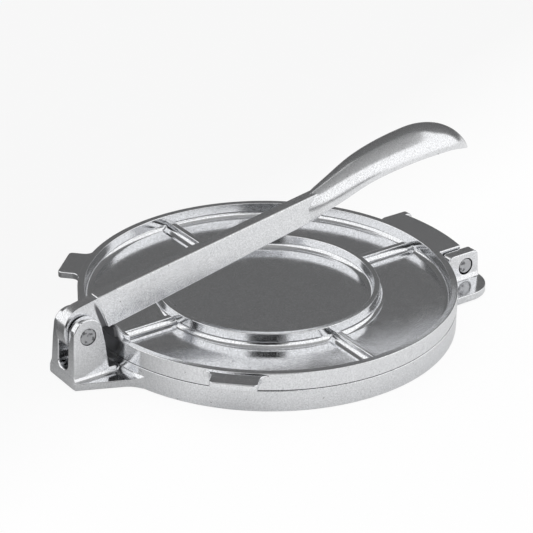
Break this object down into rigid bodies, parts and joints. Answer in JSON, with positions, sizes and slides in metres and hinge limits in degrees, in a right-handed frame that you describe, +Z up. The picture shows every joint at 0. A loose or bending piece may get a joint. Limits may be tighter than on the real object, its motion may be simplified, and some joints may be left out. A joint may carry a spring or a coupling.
{
  "type": "tortilla press",
  "caption": "Cast aluminium tortilla press: two round ribbed platens hinged together and a long lever in a clevis that squeezes them flat",
  "frame": {"origin": "on the table, under the middle of the closed press's bounding box", "axes": "+X from the lever's clevis to the plate hinge, +Z up, +Y completes the right-handed frame and runs along both pins"},
  "size_m": [0.2586, 0.1998, 0.0862],
  "materials": {
    "casting": "polished sand casting",
    "pin": "sawn rod, ends left rough"
  },
  "bodies": {
    "base": {"base_casting": "casting", "lever_pin": "pin", "hinge_pin": "pin"},
    "top_plate": {"top_plate_casting": "casting"},
    "lever": {"lever_casting": "casting"}
  },
  "joints": [
    {"name": "lever_hinge", "type": "hinge", "parent": "base", "child": "lever", "pos_m": [-0.11895, 0, 0.02679], "axis": [0, -1, 0], "range_deg": [0, 170]},
    {"name": "plate_hinge", "type": "hinge", "parent": "base", "child": "top_plate", "pos_m": [0.10675, 0, 0.01155], "axis": [0, 1, 0], "range_deg": [0, 110]}
  ],
  "couplings": [
    {"joint": "plate_hinge", "follows": "lever_hinge", "ratio": 0.075}
  ]
}
